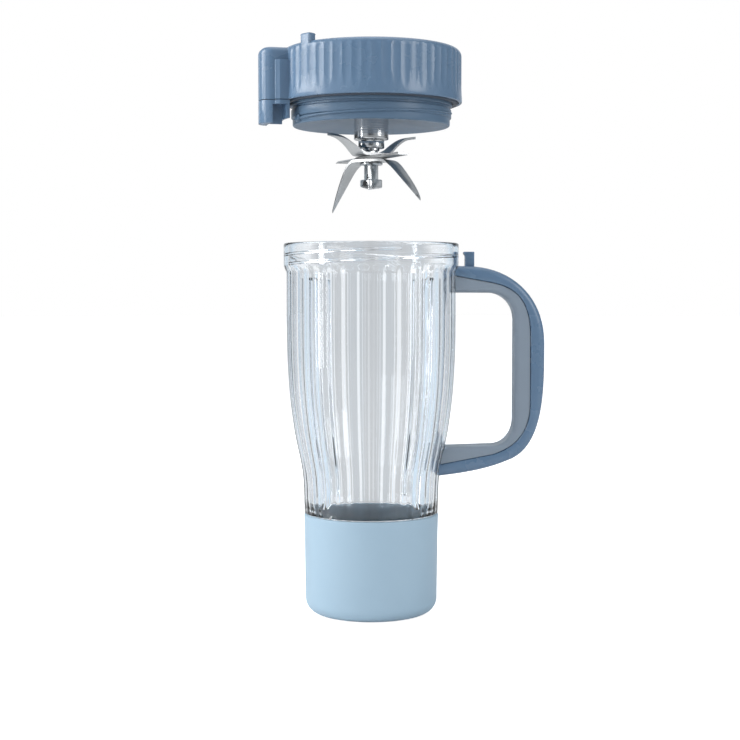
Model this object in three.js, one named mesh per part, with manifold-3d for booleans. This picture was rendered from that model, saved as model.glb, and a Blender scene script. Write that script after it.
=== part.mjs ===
// Blending tumbler with its screw-on blade lid, in millimetres, +Z up.
// The origin is on the cup's axis at the underside of the base boot, and the handle points along +X.
// The lid is modelled lifted off the cup. Lowered by 74.8 mm and turned 190.7 degrees clockwise, it is
// locked: its plug is inside the rim, and its side arm stands over the handle's post.
import * as THREE from 'three';
import { mergeVertices } from 'three/addons/utils/BufferGeometryUtils.js';
import Module from 'manifold-3d';

const wasm = await Module();
wasm.setup();

// Driving dimensions of the cup
const CUP_HEIGHT = 203.3;
const RIM_RADIUS = 47.9;
const RIM_ZONE = 190.4;
const RIM_BORE = 45.4;
const CUP_WALL = 2.4;
const SHOULDER = 188.4;
const BODY_RADIUS = 46.5;
const WAIST_RADIUS = 37.0;
const BOOT_TOP = 55;
const BOOT_FOOT_RADIUS = 36.3;
const BOOT_CORNER = 8;
const BOOT_WALL = 2.1;
const BOOT_FLOOR = 2.3;
const GAP = 0.3;

// Driving dimensions of the handle
const HANDLE_WIDTH = 21;
const HANDLE_REACH = 94.4;
const SEAM_REACH = 86.6;
const FINGER_REACH = 78.1;
const HANDLE_BEVEL = 1.3;
const SEAM = 0.15;
const POST_WIDTH = 8;
const POST_TOP = 198.7;

// Driving dimensions of the lid
const COLLAR_RADIUS = 49.4;
const COLLAR_BORE = 47.6;
const COLLAR_BOTTOM = 279;
const COLLAR_TOP = 308;
const COLLAR_ROUND = 4.5;
const ROOF_UNDERSIDE = 304.2;
const COVER_RADIUS = 39.9;
const PLUG_BOTTOM = 266.5;
const PLUG_CORE = 43.6;
const DISH_DEPTH = 5;
const THREAD_WIRE = 0.8;
const THREAD_LEAD = 10;
const GASKET_BOTTOM = 278.2;
const LUG_TOP = 312;
const LUG_ANGLE = 224;

// Driving dimensions of the side arm on the lid
const ARM_ANGLE = 195;
const ARM_REACH = 62;
const ARM_TOP = 306.8;
const ARM_SEAT = 10.5;
const SEAT_END = 53.4;
const SHOE_BOTTOM = 266.5;
const SHOE_ROOF = 276.5;
const CHANNEL_INNER = 49.9;
const CHANNEL_OUTER = 57;
const PLUNGER_RADIUS = 53.75;
const PLUNGER_SIDE = -3.6;

// Driving dimensions of the blade drive
const SPINDLE_RADIUS = 3;
const SHAFT_SQUARE = 5.7;
const SLEEVE_RADIUS = 9.5;
const SLEEVE_BOTTOM = 259.5;
const SLEEVE_TOP = 287.5;
const BEARING_RADIUS = 7.3;
const SOCKET_RADIUS = 18;
const SCREW_CIRCLE = 28;
const BLADE_THICKNESS = 1.4;
const HUB_HALF = 7;

// Finishes: colour, roughness, metalness
const FINISHES = {
  clear_cup: [0xdfe8ee, 0.05, 0],
  boot_blue: [0xaac6de, 0.6, 0],
  shell_blue: [0x5f7a9a, 0.25, 0],
  grip_grey: [0x818fa0, 0.45, 0],
  plug_grey: [0x6f7f92, 0.5, 0],
  seal_grey: [0x4a5563, 0.6, 0],
  steel: [0xb9bec4, 0.15, 1],
  dark_steel: [0x8d9298, 0.3, 1],
  drive_black: [0x2c3036, 0.45, 0],
};

const ROUND = 40;
const SMALL_ROUND = 20;
const FASTENER_ROUND = 12;
const degrees = THREE.MathUtils.degToRad;
const blender = new THREE.Group();

// ---- helpers ----------------------------------------------------------------

// A closed geometry as a solid: shared corners merged, and flat slivers on the axis dropped.
function toSolid(geometry) {
  const bare = geometry.clone();
  bare.deleteAttribute('normal');
  bare.deleteAttribute('uv');
  const merged = mergeVertices(bare, 1e-4);
  const corners = merged.index.array;
  const kept = [];
  for (let i = 0; i < corners.length; i += 3) {
    const [a, b, c] = [corners[i], corners[i + 1], corners[i + 2]];
    if (a !== b && b !== c && c !== a) kept.push(a, b, c);
  }
  const vertProperties = new Float32Array(merged.attributes.position.array);
  const mesh = new wasm.Mesh({ numProp: 3, vertProperties, triVerts: new Uint32Array(kept) });
  return new wasm.Manifold(mesh);
}

// The solid back as a geometry.
function toGeometry(solid) {
  const mesh = solid.getMesh();
  const geometry = new THREE.BufferGeometry();
  geometry.setAttribute('position', new THREE.BufferAttribute(new Float32Array(mesh.vertProperties), 3));
  geometry.setIndex(new THREE.BufferAttribute(new Uint32Array(mesh.triVerts), 1));
  geometry.computeVertexNormals();
  return geometry;
}

function joined(solids) {
  return solids.reduce((whole, solid) => whole.add(solid));
}

function addPiece(name, solid, finish) {
  const [color, roughness, metalness] = FINISHES[finish];
  const material = new THREE.MeshStandardMaterial({ color, roughness, metalness });
  const mesh = new THREE.Mesh(toGeometry(solid), material);
  mesh.name = name;
  blender.add(mesh);
}

// A profile of [radius, height] corners turned about the Z axis.
function turned(profile, segments = ROUND) {
  const points = profile.map(([radius, height]) => new THREE.Vector2(radius, height));
  const geometry = new THREE.LatheGeometry(points, segments);
  geometry.rotateX(Math.PI / 2);
  return toSolid(geometry);
}

// A plain ring or, with an inner radius of 0, a disc.
function ring(inner, outer, low, high, segments = ROUND) {
  const profile = [[inner, low], [outer, low], [outer, high], [inner, high]];
  if (inner > 0) profile.push([inner, low]);
  return turned(profile, segments);
}

function block(x, y, z) {
  const geometry = new THREE.BoxGeometry(x[1] - x[0], y[1] - y[0], z[1] - z[0]);
  geometry.translate((x[0] + x[1]) / 2, (y[0] + y[1]) / 2, (z[0] + z[1]) / 2);
  return toSolid(geometry);
}

function upright(x, y, radius, low, high, segments = SMALL_ROUND) {
  const geometry = new THREE.CylinderGeometry(radius, radius, high - low, segments);
  geometry.rotateX(Math.PI / 2);
  geometry.translate(x, y, (low + high) / 2);
  return toSolid(geometry);
}

// An outline in the XY plane, raised from low to high, with an optional rounded rim at both ends.
function raised(shape, low, high, bevel = 0) {
  const options = { depth: high - low - 2 * bevel, curveSegments: 8, bevelEnabled: bevel > 0 };
  Object.assign(options, { bevelThickness: bevel, bevelSize: bevel, bevelOffset: -bevel, bevelSegments: 3 });
  const geometry = new THREE.ExtrudeGeometry(shape, options);
  geometry.translate(0, 0, low + bevel);
  return toSolid(geometry);
}

// An outline in the XZ plane, given a width across Y, centred on Y = 0.
function across(shape, width, bevel = 0) {
  return raised(shape, -width / 2, width / 2, bevel).rotate([90, 0, 0]);
}

function outline(corners) {
  return new THREE.Shape(corners.map(([x, y]) => new THREE.Vector2(x, y)));
}

// Points round a centre from one angle to another, in degrees.
function arc(centreRadius, centreHeight, radius, from, to, steps = 3) {
  const points = [];
  for (let i = 0; i <= steps; i += 1) {
    const angle = degrees(from + ((to - from) * i) / steps);
    points.push([centreRadius + radius * Math.cos(angle), centreHeight + radius * Math.sin(angle)]);
  }
  return points;
}

function turnedTo(solid, angle) {
  return solid.rotate([0, 0, angle]);
}

// One start of a thread: a round wire laid along a right-hand helix.
function threadStart(radius, low, turns, startAngle) {
  class Helix extends THREE.Curve {
    getPoint(t, target = new THREE.Vector3()) {
      const angle = degrees(startAngle) + t * turns * 2 * Math.PI;
      return target.set(radius * Math.cos(angle), radius * Math.sin(angle), low + t * turns * THREAD_LEAD);
    }
  }
  const wire = new THREE.Shape().absarc(0, 0, THREAD_WIRE, 0, 2 * Math.PI);
  const options = { steps: Math.round(20 * turns), curveSegments: 3, extrudePath: new Helix() };
  return toSolid(new THREE.ExtrudeGeometry(wire, options));
}

// ---- cup --------------------------------------------------------------------

// The cup's outer wall from the waist up to the shoulder, moved in by inset.
function wallCurve(inset) {
  const marks = [[WAIST_RADIUS, 60], [37.9, 78], [42.1, 99], [44.9, 120], [46.2, 142], [BODY_RADIUS, 162]];
  const moved = marks.map(([radius, height]) => new THREE.Vector2(radius - inset, height));
  const curve = new THREE.SplineCurve(moved);
  return curve.getPoints(6).map((point) => [point.x, point.y]);
}

const cupFootRadius = WAIST_RADIUS - BOOT_WALL - GAP;
const cupFootHeight = BOOT_FLOOR + GAP;

function cupOuterProfile() {
  const corner = BOOT_CORNER - BOOT_FLOOR;
  return [
    [0, cupFootHeight],
    ...arc(cupFootRadius - corner, cupFootHeight + corner, corner, -90, 0),
    [cupFootRadius, BOOT_TOP + GAP],
    [WAIST_RADIUS, BOOT_TOP + GAP],
    ...wallCurve(0),
    [BODY_RADIUS, SHOULDER],
    [RIM_RADIUS, RIM_ZONE],
    [RIM_RADIUS, CUP_HEIGHT - 0.8],
    [RIM_RADIUS - 0.8, CUP_HEIGHT],
  ];
}

function cupSolid() {
  const innerFoot = cupFootRadius - CUP_WALL;
  const innerCorner = 6;
  const innerFloor = 6.5;
  const profile = [
    ...cupOuterProfile(),
    [RIM_BORE + 0.6, CUP_HEIGHT],
    [RIM_BORE, CUP_HEIGHT - 0.6],
    [RIM_BORE, RIM_ZONE],
    [BODY_RADIUS - CUP_WALL, SHOULDER],
    ...wallCurve(CUP_WALL).reverse(),
    [innerFoot, BOOT_TOP - 4],
    ...arc(innerFoot - innerCorner, innerFloor + innerCorner, innerCorner, 0, -90),
    [0, innerFloor],
  ];
  return turned(profile);
}

// One blending rib: a fin that follows the inner wall.
function rib(angle) {
  const root = wallCurve(CUP_WALL - 0.6);
  const crest = wallCurve(CUP_WALL + 4).reverse();
  const foot = root[0][1];
  const top = SHOULDER - 4;
  const corners = [...root, [BODY_RADIUS - CUP_WALL + 0.6, top], [BODY_RADIUS - CUP_WALL - 2, top]];
  corners.push([BODY_RADIUS - CUP_WALL - 4, top - 4], ...crest.slice(0, -1), [crest.at(-1)[0] + 3, foot]);
  return turnedTo(across(outline(corners), 3), angle);
}

const HANDLE_LUGS = [
  { x: [44.6, 53], z: [178.4, 183] },
  { x: [37.6, 45], z: [84.6, 88.6] },
];

function lug({ x, z }, grow = 0) {
  const width = 5 + grow;
  return block([x[0], x[1] + grow], [-width, width], [z[0] - grow, z[1] + grow]);
}

function addCup() {
  const ribs = [45, 135, 225, 315].map(rib);
  const threads = [20, 200].map((angle) => threadStart(RIM_BORE + 0.1, RIM_ZONE + 1.8, 0.75, angle));
  const lugs = HANDLE_LUGS.map((place) => lug(place));
  addPiece('cup_body', joined([cupSolid(), ...ribs, ...threads, ...lugs]), 'clear_cup');
}

function addBoot() {
  const innerRadius = WAIST_RADIUS - BOOT_WALL;
  const innerCorner = BOOT_CORNER - BOOT_FLOOR;
  const profile = [
    [0, 0],
    ...arc(BOOT_FOOT_RADIUS - BOOT_CORNER, BOOT_CORNER, BOOT_CORNER, -90, 0, 5),
    [WAIST_RADIUS, BOOT_TOP],
    [innerRadius, BOOT_TOP],
    ...arc(innerRadius - innerCorner, BOOT_FLOOR + innerCorner, innerCorner, 0, -90),
    [0, BOOT_FLOOR],
  ];
  addPiece('base_boot', turned(profile), 'boot_blue');
}

// ---- handle -----------------------------------------------------------------

// The seam between the handle's shell and grip, from the top arm round to the bottom arm.
// A positive shift moves it outwards.
function seamPoints(shift) {
  const right = SEAM_REACH + shift;
  const shape = new THREE.Shape();
  shape.moveTo(40, 186.4 + shift);
  shape.lineTo(64.7, 181.9 + shift);
  shape.bezierCurveTo(80, 179.2 + shift, right, 171 + shift, right, 152);
  shape.lineTo(right, 116);
  shape.bezierCurveTo(right, 102.5, 80.5 + shift, 92.6 - shift, 66.4, 88.2 - shift);
  shape.lineTo(30, 81.2 - shift);
  return shape.getPoints(8);
}

function lineThrough(shape, points) {
  points.forEach((point) => shape.lineTo(point.x, point.y));
}

function shellOutline() {
  const shape = new THREE.Shape();
  shape.moveTo(40, 191.2);
  lineThrough(shape, seamPoints(SEAM));
  shape.lineTo(30, 75.4);
  shape.bezierCurveTo(50, 77.4, 63, 79.8, 74, 84.4);
  shape.bezierCurveTo(91, 90, HANDLE_REACH, 112, HANDLE_REACH, 138);
  shape.lineTo(HANDLE_REACH, 149);
  shape.bezierCurveTo(HANDLE_REACH, 172, 79, 188.8, 56, 190.6);
  return shape;
}

function gripOutline() {
  const right = FINGER_REACH;
  const shape = new THREE.Shape();
  shape.moveTo(40, 176.4);
  shape.lineTo(64.7, 176.3);
  shape.bezierCurveTo(72, 176, right, 170, right, 161.8);
  shape.lineTo(right, 107.1);
  shape.bezierCurveTo(right, 99, 73, 93, 66.4, 92.8);
  shape.lineTo(30, 91.6);
  lineThrough(shape, seamPoints(-SEAM).reverse());
  return shape;
}

// The cup grown by the gap, to trim what stands against it.
function cupClearance() {
  const outer = cupOuterProfile().slice(1);
  const grown = outer.map(([radius, height]) => [radius + GAP, height]);
  return turned([[0, grown[0][1] - GAP], [grown[0][0], grown[0][1] - GAP], ...grown, [0, CUP_HEIGHT + GAP]]);
}

const post = { root: 186.3, inner: 51.3, outer: 56.3, hook: 50.4 };

function addHandle() {
  const clearance = cupClearance();
  const halfWidth = POST_WIDTH / 2;
  const postPocketX = [post.inner - GAP, post.outer + GAP];
  const postPocketY = [-halfWidth - GAP, halfWidth + GAP];
  const postPocket = block(postPocketX, postPocketY, [post.root - GAP, 195]);
  const lugs = joined(HANDLE_LUGS.map((place) => lug(place, GAP)));
  const shell = across(shellOutline(), HANDLE_WIDTH, HANDLE_BEVEL).subtract(clearance);
  const grip = across(gripOutline(), HANDLE_WIDTH, HANDLE_BEVEL).subtract(clearance);
  addPiece('handle_shell', shell.subtract(postPocket).subtract(lugs), 'shell_blue');
  addPiece('handle_grip', grip.subtract(lugs), 'grip_grey');
  const side = [
    [post.inner, post.root],
    [post.outer, post.root],
    [post.outer, POST_TOP - 0.6],
    [post.outer - 0.6, POST_TOP],
    [post.hook, POST_TOP],
    [post.hook, POST_TOP - 1.1],
    [post.inner, POST_TOP - 2.1],
  ];
  addPiece('interlock_post', across(outline(side), POST_WIDTH), 'shell_blue');
}

// ---- lid --------------------------------------------------------------------

// The side arm's plan, drawn along +X: the seat block against the collar and the rounded column.
function seatPlan(inner) {
  return outline([[inner, -ARM_SEAT], [SEAT_END, -ARM_SEAT], [SEAT_END, ARM_SEAT], [inner, ARM_SEAT]]);
}

function columnPlan(inner) {
  const half = 8.5;
  const corner = 6.5;
  const shape = new THREE.Shape();
  shape.moveTo(inner, -half);
  shape.lineTo(ARM_REACH - corner, -half);
  shape.absarc(ARM_REACH - corner, -half + corner, corner, -Math.PI / 2, 0);
  shape.absarc(ARM_REACH - corner, half - corner, corner, 0, Math.PI / 2);
  shape.lineTo(inner, half);
  return shape;
}

function dockingLug(angle) {
  const plan = outline([[43.6, -3.5], [48.4, -3.5], [48.4, 3.5], [43.6, 3.5]]);
  return turnedTo(raised(plan, COLLAR_TOP - 4, LUG_TOP, 1.2), angle);
}

function addCollar() {
  const profile = [
    [COLLAR_BORE, COLLAR_BOTTOM],
    [COLLAR_RADIUS, COLLAR_BOTTOM],
    ...arc(COLLAR_RADIUS - COLLAR_ROUND, COLLAR_TOP - COLLAR_ROUND, COLLAR_ROUND, 0, 90),
    [COVER_RADIUS + GAP, COLLAR_TOP],
    [COVER_RADIUS + GAP, ROOF_UNDERSIDE],
    [COLLAR_BORE, ROOF_UNDERSIDE],
    [COLLAR_BORE, COLLAR_BOTTOM],
  ];
  const core = ring(0, COLLAR_RADIUS - 1, COLLAR_BOTTOM - 1, COLLAR_TOP + 1);
  const tall = raised(columnPlan(40), COLLAR_BOTTOM - 20, ARM_TOP, 4);
  const column = tall.trimByPlane([0, 0, 1], COLLAR_BOTTOM);
  const seat = raised(seatPlan(40), COLLAR_BOTTOM, 300);
  const hollow = block([50.2, 59.4], [-7.2, 7.2], [COLLAR_BOTTOM - 1, 302]);
  const rodHole = upright(PLUNGER_RADIUS, PLUNGER_SIDE, 2.4, 300, ARM_TOP + 1);
  const arm = column.add(seat).subtract(core).subtract(hollow).subtract(rodHole);
  const lugs = [LUG_ANGLE, LUG_ANGLE - 180].map(dockingLug);
  addPiece('lid_collar', joined([turned(profile), turnedTo(arm, ARM_ANGLE), ...lugs]), 'shell_blue');
}

// The shoe under the arm: a post channel behind, a wall in the middle and an open pocket in front.
function addShoe() {
  const top = COLLAR_BOTTOM - GAP;
  const body = raised(columnPlan(40), SHOE_BOTTOM, top).add(raised(seatPlan(40), SHOE_BOTTOM, top));
  const core = ring(0, 48.6, SHOE_BOTTOM - 1, top + 1);
  const lane = ring(CHANNEL_INNER, CHANNEL_OUTER, SHOE_BOTTOM - 1, SHOE_ROOF);
  const channel = lane.intersect(block([45, 65], [-20, 1], [260, 280]));
  const pocket = lane.intersect(block([45, 65], [2.5, 20], [260, 280]));
  const shortWall = ring(0, CHANNEL_INNER + 0.2, SHOE_BOTTOM - 1, 269);
  const footHole = block([51.2, 56.3], [PLUNGER_SIDE - 2.9, PLUNGER_SIDE + 2.9], [SHOE_ROOF - 1, top + 1]);
  const shoe = [core, channel, pocket, shortWall, footHole].reduce((rest, cut) => rest.subtract(cut), body);
  addPiece('latch_shoe', turnedTo(shoe, ARM_ANGLE), 'shell_blue');
}

function addGasket() {
  const inner = PLUG_CORE + 0.7;
  const outer = COLLAR_BORE - GAP;
  const profile = [
    [inner, GASKET_BOTTOM],
    [outer, GASKET_BOTTOM],
    [outer, GASKET_BOTTOM + 1.2],
    [outer - 0.6, GASKET_BOTTOM + 3],
    [inner, GASKET_BOTTOM + 3],
    [inner, GASKET_BOTTOM],
  ];
  addPiece('lid_gasket', turned(profile), 'seal_grey');
}

const screwAngles = [45, 135, 225, 315];
const towerBore = SLEEVE_RADIUS + 0.4;
const towerRadius = 13;
const bossTop = 300;

// The plug's underside is a shallow dish that rises from the rim to the sleeve.
function addPlug() {
  const rimInner = 41;
  const dish = PLUG_BOTTOM + DISH_DEPTH;
  const floor = 2.4;
  const profile = [
    [towerBore, dish],
    [rimInner, PLUG_BOTTOM],
    [PLUG_CORE - 0.8, PLUG_BOTTOM],
    [PLUG_CORE - 0.8, PLUG_BOTTOM + 3.9],
    [PLUG_CORE, PLUG_BOTTOM + 4.3],
    [PLUG_CORE, 275.6],
    [PLUG_CORE + 0.4, 276],
    [PLUG_CORE + 0.4, ROOF_UNDERSIDE - 0.4],
    [PLUG_CORE - 1.8, ROOF_UNDERSIDE - 0.4],
    [rimInner, PLUG_BOTTOM + floor],
    [towerRadius, dish + floor],
    [towerRadius, SLEEVE_TOP + 0.5],
    [towerBore, SLEEVE_TOP + 0.5],
    [towerBore, dish],
  ];
  const bosses = screwAngles.map((angle) => {
    const boss = upright(SCREW_CIRCLE, 0, 4, dish - 1, bossTop, FASTENER_ROUND);
    return turnedTo(boss.subtract(upright(SCREW_CIRCLE, 0, 1.8, 288, bossTop + 1, FASTENER_ROUND)), angle);
  });
  const threads = [100, 280].map((angle) => threadStart(PLUG_CORE, PLUG_BOTTOM + 1.9, 0.7, angle));
  addPiece('lid_plug', joined([turned(profile), ...bosses, ...threads]), 'plug_grey');
}

function addTopCover() {
  const floor = 288.6;
  const flange = 303.9;
  const profile = [
    [12.6, floor],
    [SOCKET_RADIUS + 2, floor],
    [SOCKET_RADIUS + 2, bossTop + GAP],
    [COVER_RADIUS + 1.5, bossTop + GAP],
    [COVER_RADIUS + 1.5, flange],
    [COVER_RADIUS, flange],
    [COVER_RADIUS, 306.4],
    [COVER_RADIUS - 0.6, 307],
    [SOCKET_RADIUS + 0.7, 307],
    [SOCKET_RADIUS, 306.3],
    [SOCKET_RADIUS, floor + 2],
    [12.6, floor + 2],
    [12.6, floor],
  ];
  const cuts = screwAngles.map((angle) => {
    const shankHole = upright(SCREW_CIRCLE, 0, 1.8, 299, 308, FASTENER_ROUND);
    const counterbore = upright(SCREW_CIRCLE, 0, 3.2, 303.2, 308, FASTENER_ROUND);
    return turnedTo(shankHole.add(counterbore), angle);
  });
  const cover = cuts.reduce((rest, cut) => rest.subtract(cut), turned(profile));
  addPiece('lid_top_cover', cover, 'shell_blue');
}

function addCoverScrews() {
  screwAngles.forEach((angle, index) => {
    const shank = upright(SCREW_CIRCLE, 0, 1.5, 290, 304, FASTENER_ROUND);
    const head = upright(SCREW_CIRCLE, 0, 2.8, 303.5, 305.5, FASTENER_ROUND);
    const slots = block([25.8, 30.2], [-0.45, 0.45], [304.6, 306]).add(
      block([27.55, 28.45], [-2.2, 2.2], [304.6, 306]));
    addPiece(`cover_screw_${index + 1}`, turnedTo(shank.add(head).subtract(slots), angle), 'dark_steel');
  });
}

// ---- inside the lid ---------------------------------------------------------

function addSleeve() {
  const bore = BEARING_RADIUS + GAP;
  const lip = SPINDLE_RADIUS + 0.6;
  const profile = [
    [lip, SLEEVE_BOTTOM],
    [SLEEVE_RADIUS - 0.5, SLEEVE_BOTTOM],
    [SLEEVE_RADIUS, SLEEVE_BOTTOM + 0.5],
    [SLEEVE_RADIUS, SLEEVE_TOP],
    [bore, SLEEVE_TOP],
    [bore, SLEEVE_BOTTOM + 1.5],
    [lip, SLEEVE_BOTTOM + 1.5],
    [lip, SLEEVE_BOTTOM],
  ];
  addPiece('bearing_sleeve', turned(profile, 40), 'steel');
}

function addBearing(name, low) {
  addPiece(name, ring(SPINDLE_RADIUS + GAP, BEARING_RADIUS, low, low + 5, SMALL_ROUND), 'steel');
}

// From the bottom up: the shaft seal, two bearings and a split ring that keeps them in.
function addSleeveContents() {
  const sealBottom = SLEEVE_BOTTOM + 1.8;
  const seal = ring(SPINDLE_RADIUS + GAP, BEARING_RADIUS, sealBottom, sealBottom + 3, SMALL_ROUND);
  addPiece('shaft_seal', seal, 'seal_grey');
  addBearing('bearing_lower', sealBottom + 3.3);
  addBearing('bearing_upper', 280);
  const split = block([0, 10], [-1.2, 1.2], [284, 288]);
  const keeper = ring(5.5, BEARING_RADIUS, 285.3, 286.3, SMALL_ROUND).subtract(split);
  addPiece('retaining_ring', keeper, 'dark_steel');
}

const springLength = { low: 281.3, high: 301.7 };

function addPlunger() {
  const foot = block([51.6, 55.9], [PLUNGER_SIDE - 2.5, PLUNGER_SIDE + 2.5], [273.8, 280]);
  const reach = 3.2;
  const x = [PLUNGER_RADIUS - reach, PLUNGER_RADIUS + reach];
  const y = [PLUNGER_SIDE - 2.9, PLUNGER_SIDE + 2.9];
  const flange = block(x, y, [COLLAR_BOTTOM + 0.2, 281]);
  const stem = upright(PLUNGER_RADIUS, PLUNGER_SIDE, 2, 280, 303.5, 12);
  addPiece('interlock_plunger', turnedTo(joined([foot, flange, stem]), ARM_ANGLE), 'drive_black');
}

// A closed coil spring round the plunger's stem.
function addSpring() {
  const wire = 0.4;
  const coils = 5;
  const low = springLength.low + wire;
  const rise = springLength.high - springLength.low - 2 * wire;
  class Coil extends THREE.Curve {
    getPoint(t, target = new THREE.Vector3()) {
      const angle = t * coils * 2 * Math.PI;
      const x = PLUNGER_RADIUS + 2.75 * Math.cos(angle);
      return target.set(x, PLUNGER_SIDE + 2.75 * Math.sin(angle), low + t * rise);
    }
  }
  const section = new THREE.Shape().absarc(0, 0, wire, 0, 2 * Math.PI);
  const options = { steps: coils * 10, curveSegments: 3, extrudePath: new Coil() };
  const spring = toSolid(new THREE.ExtrudeGeometry(section, options));
  addPiece('plunger_spring', turnedTo(spring, ARM_ANGLE), 'dark_steel');
}

// ---- blade drive ------------------------------------------------------------

const bladeTurn = 34;
const blades = { down: 247.4, flat: 249.1, up: 250.8 };

function squareBar(side, low, high) {
  const half = side / 2;
  return turnedTo(block([-half, half], [-half, half], [low, high]), bladeTurn);
}

// The shaft: a square head cut off at a slant, a square for the blades, and a round rod above them.
function addSpindle() {
  const headSide = 9;
  const slant = [0, -0.29, 1];
  const middleHeight = 233.6;
  const head = squareBar(headSide, 230.8, 238).trimByPlane(slant, middleHeight / Math.hypot(...slant));
  const shaft = squareBar(SHAFT_SQUARE, 237, 253.3);
  const rod = ring(0, SPINDLE_RADIUS, 253, 305, SMALL_ROUND);
  addPiece('spindle', joined([head, shaft, rod]), 'steel');
}

function addDrive() {
  const bore = SPINDLE_RADIUS + GAP;
  addPiece('coupling_spacer', ring(bore, 5, 285.3, 291, SMALL_ROUND), 'dark_steel');
  const star = new THREE.Shape();
  const teeth = 8;
  const count = teeth * 4;
  for (let i = 0; i < count; i += 1) {
    const angle = (i / count) * 2 * Math.PI;
    const radius = 9.7 + 1.1 * Math.cos(angle * teeth);
    star[i === 0 ? 'moveTo' : 'lineTo'](radius * Math.cos(angle), radius * Math.sin(angle));
  }
  const body = raised(star, 291.3, 302).subtract(ring(0, bore, 290, 303, SMALL_ROUND));
  addPiece('drive_coupling', body, 'drive_black');
  const nut = upright(0, 0, 5.2, 302.3, 304.8, 6).subtract(ring(0, bore, 302, 305, SMALL_ROUND));
  addPiece('coupling_nut', nut, 'dark_steel');
}

// A stamped blade: its plan, cut from a strip bent to the side profile. The profile is the strip's
// underside from tip to tip, and the square hole keys the blade to the shaft.
function blade(plan, profile, low, angle) {
  const upper = profile.map(([x, z]) => [x, z + BLADE_THICKNESS]).reverse();
  const strip = across(outline([...profile, ...upper]), 30);
  const sheet = raised(plan, -40, 40);
  const keyed = sheet.intersect(strip).translate([0, 0, low]);
  return turnedTo(keyed, angle).subtract(squareBar(SHAFT_SQUARE + 2 * GAP, 240, 260));
}

// A plan with two arms that taper from the hub's half width to a point at each tip. A fuller arm keeps
// its width longer.
function pointedPlan(left, right, half, lean) {
  const shape = new THREE.Shape();
  shape.moveTo(right.tip, -lean);
  shape.quadraticCurveTo(right.tip * right.full, half, HUB_HALF, half);
  shape.lineTo(-HUB_HALF, half);
  shape.lineTo(-left.tip, lean + 0.6);
  shape.lineTo(-left.tip, lean);
  shape.quadraticCurveTo(-left.tip * left.full, -half, -HUB_HALF, -half);
  shape.lineTo(HUB_HALF, -half);
  shape.lineTo(right.tip, -lean - 0.6);
  return shape;
}

// A plan with two arms that narrow a little to blunt ends.
function bluntPlan(tip, half, endHalf) {
  const upper = [[tip, endHalf], [HUB_HALF, half], [-HUB_HALF, half], [-tip, endHalf]];
  const lower = upper.map(([x, y]) => [-x, -y]);
  return outline([...upper, ...lower]);
}

function addBlades() {
  const rise = [[8, 0], [14, 5.8], [20, 9.2], [27.5, 10.4]];
  const upProfile = [...rise.map(([x, z]) => [-x, z]).reverse(), ...rise];
  const upPlan = pointedPlan({ tip: 25.9, full: 0.68 }, { tip: 27, full: 0.68 }, 6.5, 3);
  const up = blade(upPlan, upProfile, blades.up, 33);
  const flat = blade(bluntPlan(34, 5.5, 3.4), [[-36, 0], [36, 0]], blades.flat, -60);
  const downProfile = [[-28.2, -28.4], [-11, 0], [12.8, 0], [34, -23.3]];
  const downPlan = pointedPlan({ tip: 27.2, full: 0.6 }, { tip: 32.6, full: 0.78 }, 6.5, 2.5);
  const down = blade(downPlan, downProfile, blades.down, -32);
  addPiece('blade_up', up, 'steel');
  addPiece('blade_flat', flat, 'steel');
  addPiece('blade_down', down, 'steel');
  const bore = SPINDLE_RADIUS + GAP;
  const squareHole = squareBar(SHAFT_SQUARE + 2 * GAP, 240, 252);
  addPiece('blade_washer', ring(0, 6.3, 245.9, 247.1, SMALL_ROUND).subtract(squareHole), 'steel');
  const collar = [
    [bore, 253.6], [4.5, 253.6], [4.5, 254.9], [6.7, 254.9], [7.15, 255.4], [7.15, 259.2], [bore, 259.2],
    [bore, 253.6],
  ];
  addPiece('blade_collar', turned(collar, 32), 'steel');
}

// ---- assembly ---------------------------------------------------------------

addCup();
addBoot();
addHandle();
addCollar();
addShoe();
addGasket();
addPlug();
addTopCover();
addCoverScrews();
addSleeve();
addSleeveContents();
addPlunger();
addSpring();
addSpindle();
addDrive();
addBlades();

export default blender;
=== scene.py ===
# %% [markdown]
# # A blending tumbler and the blade lid that screws onto it
#
# The real object is a clear fluted cup with a D handle and a soft blue boot, and a screw-on lid that
# carries the blades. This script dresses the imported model. It loads the solids as a fixed frame, then
# models each piece that shows with Blender's own editing operators, in the same place and in metres.

# %% Load the frame
from math import atan2, cos, hypot, pi, radians, sin

import bpy
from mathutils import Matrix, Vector


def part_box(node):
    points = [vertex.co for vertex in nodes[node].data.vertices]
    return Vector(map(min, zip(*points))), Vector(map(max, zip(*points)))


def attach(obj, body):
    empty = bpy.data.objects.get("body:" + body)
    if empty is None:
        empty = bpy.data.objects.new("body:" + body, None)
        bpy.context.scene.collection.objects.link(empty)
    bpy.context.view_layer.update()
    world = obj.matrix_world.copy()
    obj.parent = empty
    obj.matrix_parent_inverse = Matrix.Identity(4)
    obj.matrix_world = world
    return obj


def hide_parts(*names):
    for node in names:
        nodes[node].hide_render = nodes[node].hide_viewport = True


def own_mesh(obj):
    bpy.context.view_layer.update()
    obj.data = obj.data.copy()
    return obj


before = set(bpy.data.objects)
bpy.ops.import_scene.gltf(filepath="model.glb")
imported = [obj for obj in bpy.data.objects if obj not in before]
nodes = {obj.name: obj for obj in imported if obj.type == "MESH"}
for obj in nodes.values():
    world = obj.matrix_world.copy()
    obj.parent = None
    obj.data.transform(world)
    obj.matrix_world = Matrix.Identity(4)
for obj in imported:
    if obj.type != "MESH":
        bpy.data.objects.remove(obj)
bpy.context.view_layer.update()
mm = 0.001

# %% [markdown]
# ## Camera
# A product like this is shown with a long lens from a little under a metre away, so that the cup's sides
# stay almost upright. The camera stands level with the cup's shoulder and tips down a few degrees.

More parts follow.
